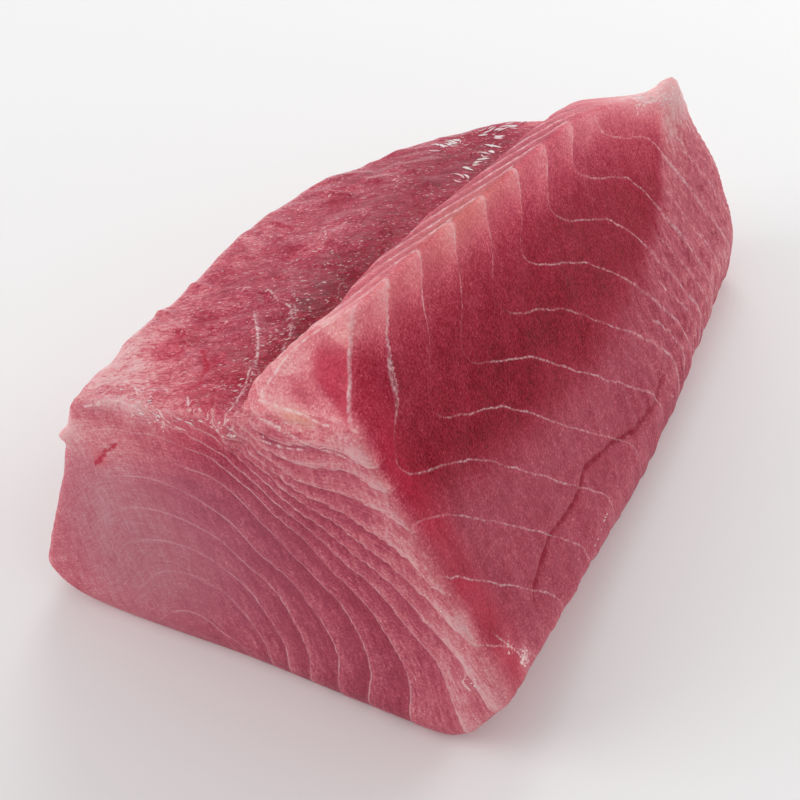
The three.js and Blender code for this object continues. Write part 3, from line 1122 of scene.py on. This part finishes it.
# white of torn membrane, also used for the painted glints of wet light
FLECK_AND_GLINT_WHITE = srgb(250, 228, 227)
LINES = {
    # mask: family of counts, width in mm, waver, breaks, strength
    "front_lines": ("front", 0.34, 0.22, 0.30, 0.62),
    "nose_lines": ("front", 0.45, 0.25, 1.0, 0.85),
    "slope_lines": ("slope", 0.34, 0.75, 0.80, 0.70),
    "band_lines": ("slope", 0.9, 1.2, 0.7, 1.0),
    "between_lines": ("between", 0.5, 2.2, 1.0, 0.75),
    "cell_lines": ("cell", 0.75, 0.5, 0.7, 0.95),
    "top_lines": ("top", 0.50, 1.6, 1.0, 0.80),
    "side_lines": ("side", 0.45, 0.9, 0.6, 0.55),
}
NOISES = {
    # name: scale per metre, detail, roughness, heading, stretch, tilt
    "fine": (1700.0, 2.0, 0.6),
    "medium": (480.0, 3.0, 0.6),
    "broad": (110.0, 3.0, 0.5),
    "fibres": (1500.0, 3.0, 0.65, TOP_GRAIN, (2.4, 1.0, 1.0)),
    "blotches": (230.0, 4.0, 0.6, TOP_GRAIN, (1.6, 1.0, 1.0)),
    "falls": (800.0, 3.0, 0.6, 0.0, (1.0, 1.0, 8.0)),
    "scratches": (1000.0, 3.0, 0.65, 0.0, (1.0, 1.0, 8.0), SCRATCH_TILT),
    "specks_and_glints": (2300.0, 1.0),
    "torn": (1350.0, 4.0, 0.65, TOP_GRAIN, (2.0, 1.0, 1.0)),
    "glints": (1700.0, 2.0, 0.5, TOP_GRAIN, (1.8, 1.0, 1.0)),
    "beads": (620.0, 3.0, 0.6),
}
STREAKS_PER_LAYER = 16.0  # across the layers
STREAKS_PER_METRE = 170.0  # along them, so that each streak is long and thin


# %% The flesh's material
def layer_streaks(where, front_count):
    """Streaks along the layers of the front cut: a noise that is stretched along the count."""
    across, up = [add_node(where.tree, "SeparateXYZ", {0: where}, axis) for axis in "XZ"]
    along_layers = add_node(where.tree, "CombineXYZ", {
        "X": front_count * STREAKS_PER_LAYER, "Y": across * STREAKS_PER_METRE,
        "Z": up * STREAKS_PER_METRE})
    return noise(along_layers, 1.0, 4.0, 0.65)


def all_lines(mesh, where):
    """The sum of every family's lines and of their halos, and each mask's share past a line."""
    uneven = place_group(where.tree, WEAR, {"Where": where})
    line, halo, pasts = 0.0, 0.0, {}
    for mask, (family, width, waver, breaks, strength) in LINES.items():
        # on the slope the thick membranes and the far ones are wider
        if mask == "slope_lines":
            width = width + mesh["thick"] * 0.65 + mesh["far_rough"] * 0.55
            strength = strength + mesh["thick"] * 0.25
        placed = place_group(where.tree, MEMBRANES, {
            "Count": mesh[family + "_count"], "Rate": mesh[family + "_rate"],
            "Width": width, "Waver": waver, "Breaks": breaks, **uneven})
        weight = mesh[mask] * strength
        line = placed["Line"] * weight + line
        halo = placed["Halo"] * weight + halo
        pasts[mask] = placed["Past"]
    return maths("MINIMUM", line, 1.0), halo, pasts


def depth_of_red(mesh, grit, halo, pasts):
    """The mesh's own depth, plus the grain of every kind of cut, less the pale places."""
    grain = (centred(grit["fine"], -1.25) + centred(grit["medium"], -0.55)
             + centred(grit["broad"], -0.45))
    # pale flesh is clear and smooth, so the grain shows less there
    grain = grain * remap(mesh["red"], 0.05, 0.75, 0.50, 1.0)
    on_top = centred(grit["fibres"], -1.35) + centred(grit["blotches"], -1.0)
    on_cut = centred(grit["streaks"], -0.80) + centred(grit["scratches"], -0.75)
    grain = grain + on_top * mesh["rough_top"] + on_cut * mesh["cut_across"]
    grain = grain + centred(grit["falls"], -0.40) * mesh["strip"]
    grain = grain + centred(grit["falls"], -0.75) * mesh["far_rough"]
    # past a membrane of the front cut the flesh is dark, partly painted shade on the low side of
    # each step, and it pales towards the next
    layers = remap(pasts["front_lines"], 0.08, 1.0, 0.16, -0.18) * mesh["fan"]
    # near the crest the flesh pales just before each membrane
    corners = remap(pasts["slope_lines"], 0.30, 0.97, 0.05, -0.20) * mesh["crest"]
    # tiny light grains in the dark core, partly painted glints on the fibre ends
    specks_and_glints = remap(grit["specks_and_glints"], 0.60, 0.72)
    return (mesh["red"] + grain + layers + corners
            - halo * 0.07 - mesh["edge"] * 0.22 - specks_and_glints * 0.22)


def ramp_colour(depth):
    """The colour that the ramp gives to a depth of red."""
    depths = list(RAMP)
    palest, deepest = depths[0], depths[-1]
    ramp = depth.tree.nodes.new("ShaderNodeValToRGB")
    link((depth - palest) / (deepest - palest), ramp.inputs["Fac"])
    stops = ramp.color_ramp.elements
    stops[0].color = RAMP[palest]
    stops[1].color = RAMP[deepest]
    for at in depths[1:-1]:
        stops.new((at - palest) / (deepest - palest)).color = RAMP[at]
    return Level(ramp.outputs["Color"])


def flesh_colour(mesh, grit, depth, line, pasts):
    """The ramp's colour, tinted, then crack, slits, membranes, flecks and painted glints."""
    colour = ramp_colour(depth)
    colour = blend(remap(mesh["warm"], 0.0, 1.2, 0.0, 0.45), colour, PEACH)
    colour = blend(remap(mesh["warm"], -1.0, 0.0, 0.5, 0.0), colour, MAUVE)
    colour = blend(mesh["dull"], colour, DULL_RED)
    # bright fresh red, more just before a membrane, with the same grain
    fresh = mesh["cherry"] * remap(pasts["slope_lines"], 0.2, 1.0, 0.6, 1.0)
    fresh = fresh * remap(grit["medium"], 0.30, 0.65, 0.70, 1.0)
    fresh = fresh * remap(grit["fine"], 0.30, 0.70, 0.75, 1.0)
    colour = blend(fresh, colour, FRESH_RED)
    crack = thin_line(mesh["crack_side"], centred(grit["medium"], 2.2), 0.1, 1.2, 0.7)
    colour = blend(crack * mesh["crack"], colour, CRACK_RED)
    slit = thin_line(mesh["slit_side"], centred(grit["medium"], 2.6), 0.1, 0.9, 0.75)
    colour = blend(slit * remap(mesh["slit"], 0.7, 1.5, 1.0, 0.0), colour, SLIT_RED)
    colour = blend(line * 0.85, colour, MEMBRANE_WHITE)
    # flecks of white membrane where the mesh says that it was torn, and painted glints on the top
    level = 0.80 - mesh["flecks"] * 0.22
    fleck = remap(grit["torn"], level, level + 0.08)
    # painted highlights: where a stretched noise passes the sheen level, the rough top turns white
    sheen = 0.77 - grit["blotches"] * 0.30
    painted_glint = remap(grit["glints"], sheen, sheen + 0.10, 0.0, 0.65)
    fleck = maths("MINIMUM", fleck + painted_glint * mesh["rough_top"], 1.0)
    strand = thin_line(mesh["strand_side"], centred(grit["fine"], 1.1), 0.0, 0.42, 0.85)
    strand = strand * remap(grit["beads"], 0.43, 0.58, 0.12, 1.0)
    strand = strand * remap(mesh["strand"], 0.9, 1.8, 1.0, 0.0)
    return blend(maths("MAXIMUM", fleck, strand) * 0.8, colour, FLECK_AND_GLINT_WHITE)


def flesh_height(mesh, grit, line):
    """The finest relief, which only bends the light: grain, membranes and torn fibres."""
    height = grit["fine"] * 0.6 + grit["medium"] * 0.5 + line * 0.4
    height = height + (grit["scratches"] * 0.7 + grit["streaks"] * 0.5) * mesh["cut_across"]
    height = height + grit["falls"] * (mesh["strip"] * 0.4 + mesh["far_rough"] * 1.6)
    return height + (grit["fibres"] * 1.5 + grit["blotches"] * 2.0) * mesh["rough_top"]


def flesh_material():
    """Depth of red, then colour, then gloss and relief."""
    material, surface, where = new_material("raw_flesh")
    tree = where.tree
    mesh = {name: add_node(tree, "Attribute", {}, "Fac", attribute_name=name)
            for name in (*fields, *masks)}
    grit = {name: noise(where, *sizes) for name, sizes in NOISES.items()}
    grit["streaks"] = layer_streaks(where, mesh["front_count"])
    line, halo, pasts = all_lines(mesh, where)
    depth = depth_of_red(mesh, grit, halo, pasts)
    bump = add_node(tree, "Bump", {
        "Height": flesh_height(mesh, grit, line), "Strength": 0.6, "Distance": 0.0006}, "Normal")
    values = {
        "Base Color": flesh_colour(mesh, grit, depth, line, pasts),
        "Roughness": remap(mesh["wet"], 0.0, 1.0, 0.42, 0.28),
        "Coat Weight": remap(mesh["wet"], 0.0, 1.0, 0.03, 0.40),
        "Coat Roughness": 0.12,
        "Coat IOR": 1.33,
        "IOR": 1.35,
        "Specular IOR Level": 0.10,
        "Subsurface Weight": 0.25,
        "Subsurface Radius": (1.0, 0.25, 0.18),
        "Subsurface Scale": 0.0016,
        "Normal": bump,
    }
    for name, value in values.items():
        link(value, surface.inputs[name])
    print("attributes:", len(mesh), " noises:", len(grit), " nodes:", len(tree.nodes))
    return material


flesh.data.materials.append(flesh_material())

# %% [markdown]
# ## Torn membranes and painted glints
# Where the top was torn by hand, short white shreds of membrane stick to the wet flesh, and a
# few lie along the knife edges. Each shred is a thin leaf: it is widest in the middle, closes
# to a point at both ends, and bends a little. The rows of glints, the far rim and the far ridge
# are near-white shreds that stand in for highlights of wet light: painted highlights. All of
# them are one mesh.

# %% Shreds
LEAF_RINGS = 7
LEAF_SIDES = 6
LEAF_THICKNESS = 0.16  # mm from a shred's middle to its top
LEAF_BEND = 0.12  # a usual bend sideways, as a share of the length
shred_random = np.random.default_rng(7)

# the rows named glints, the far rim and the far ridge are near-white shreds laid as painted
# highlights
# name: start, end, number, spread across, length and half width in mm, heading in degrees
SHRED_ROWS = {
    "front of the rim": ((20, 4, 69), (34, 2, 71), 12, 1.6, 1.4, 0.13, 20),
    "by the valley's mouth": ((33, 2, 71), (50, 0, 74), 14, 1.2, 1.6, 0.13, -35),
    "first torn line": ((49, 6, 75), (38, 38, 70), 16, 0.5, 1.4, 0.13, 40),
    "second torn line": ((48, 30, 73), (41, 48, 69), 14, 0.5, 1.2, 0.13, 40),
    "far glints": ((54, 108, 64), (54, 138, 61), 20, 0.7, 3.6, 0.42, -8),
    "far rim glints": ((39, 127, 59), (44, 134, 59), 12, 1.2, 3.2, 0.36, -8),
    "far rim": ((48, 138, 60), (56, 144, 60), 16, 1.2, 3.2, 0.34, 40),
    "far ridge": ((78, 166, 62), (87, 185, 51), 30, 1.2, 1.8, 0.16, 70),
    "strip glints": ((114.5, 67, 16), (115, 54, 15), 6, 0.6, 1.2, 0.13, 60),
    "near edge": ((98, 0, 47), (110, -1, 24), 6, 0.6, 0.8, 0.13, 10),
}


def shred_places():
    """Where each shred lies, its length, its half width and its heading, row by row."""
    places, lengths, widths, headings = [], [], [], []
    for start, finish, number, spread, length, width, heading in SHRED_ROWS.values():
        along = shred_random.random((number, 1))
        row = np.array(start) * (1 - along) + np.array(finish) * along
        row = row + shred_random.normal(0, spread, (number, 3)) * np.array([1, 1, 0.2])
        places.append(row)
        lengths.append(length * shred_random.uniform(0.4, 1.2, number))
        widths.append(width * shred_random.uniform(0.5, 1.5, number))
        headings.append(heading + shred_random.normal(0, 16, number))
    return [np.concatenate(part) for part in (places, lengths, widths, headings)]


def nearest_on_flesh(places):
    """The nearest corner of the flesh to each place, and the normal there."""
    far = (places**2).sum(1)[:, None] - 2 * places @ block.T + (block**2).sum(1)[None]
    corner = far.argmin(axis=1)
    return block[corner], skin_normal[corner]


def leaves(at, normals, lengths, headings, widths):
    """Thin closed leaves that lie on the skin.

    A point at share r of the length and at the turn s round it sits cos(s) * width * bulge
    across and sin(s) * thickness * bulge up, where the bulge is sin(pi * r)^0.7. The leaf also
    bends sideways by a parabola.
    """
    turn = np.radians(headings)
    ahead = np.stack([np.cos(turn), np.sin(turn), 0 * turn], axis=1)
    ahead -= (ahead * normals).sum(1, keepdims=True) * normals
    ahead /= np.linalg.norm(ahead, axis=1, keepdims=True)
    across = np.cross(normals, ahead)
    ring = np.linspace(0, 1, LEAF_RINGS + 2)
    round_it = np.arange(LEAF_SIDES) * 2 * np.pi / LEAF_SIDES
    bulge = np.sin(np.pi * ring) ** 0.7
    bend = shred_random.normal(0, LEAF_BEND, len(at))[:, None] * (1 - (2 * ring - 1) ** 2)
    lift = 0.02 + 0.06 * shred_random.random(len(at))
    forward = (ring[None] - 0.5) * lengths[:, None]
    centre = at[:, None] + forward[..., None] * ahead[:, None]
    centre += (bend * lengths[:, None])[..., None] * across[:, None]
    centre += lift[:, None, None] * normals[:, None]
    side = (bulge[:, None] * np.cos(round_it))[None] * widths[:, None, None]
    up = (bulge[:, None] * np.sin(round_it))[None] * LEAF_THICKNESS
    body = centre[:, :, None] + side[..., None] * across[:, None, None]
    body = body + up[..., None] * normals[:, None, None]
    rings = body[:, 1:-1].reshape(len(at), -1, 3)
    points = np.concatenate([centre[:, :1], rings, centre[:, -1:]], axis=1)
    count = 2 + LEAF_RINGS * LEAF_SIDES
    ring_of = np.arange(LEAF_RINGS * LEAF_SIDES).reshape(LEAF_RINGS, LEAF_SIDES) + 1
    after = np.roll(ring_of, -1, axis=1)
    walls = np.stack([ring_of[:-1], after[:-1], after[1:], ring_of[1:]], axis=-1).reshape(-1, 4)
    first = np.stack([np.zeros(LEAF_SIDES, int), after[0], ring_of[0]], axis=-1)
    last = np.stack([np.full(LEAF_SIDES, count - 1), ring_of[-1], after[-1]], axis=-1)
    offset = (np.arange(len(at)) * count)[:, None, None]
    faces = [(walls[None] + offset).reshape(-1, 4),
             (np.concatenate([first, last])[None] + offset).reshape(-1, 3)]
    return points.reshape(-1, 3), faces


skin_normal = corner_normals(block, quads)
places, lengths, widths, headings = shred_places()
on_flesh, up_there = nearest_on_flesh(places)
shred_points, shred_faces = leaves(on_flesh, up_there, lengths, headings, widths)
shreds = add_piece("membrane_shreds_and_glints", shred_points, shred_faces)
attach(shreds, "root")
print("shreds:", len(on_flesh))


def shred_material():
    """Wet white membrane with a little pink, which lets some light through; the near white also
    serves the shreds that are painted glints.
    """
    material, surface, where = new_material("membrane")
    tint = remap(noise(where, 300.0), 0.35, 0.65)
    link(blend(tint, srgb(232, 180, 186), srgb(252, 238, 238)), surface.inputs["Base Color"])
    surface.inputs["Roughness"].default_value = 0.25
    surface.inputs["Subsurface Weight"].default_value = 0.2
    surface.inputs["Subsurface Scale"].default_value = 0.001
    return material


shreds.data.materials.append(shred_material())
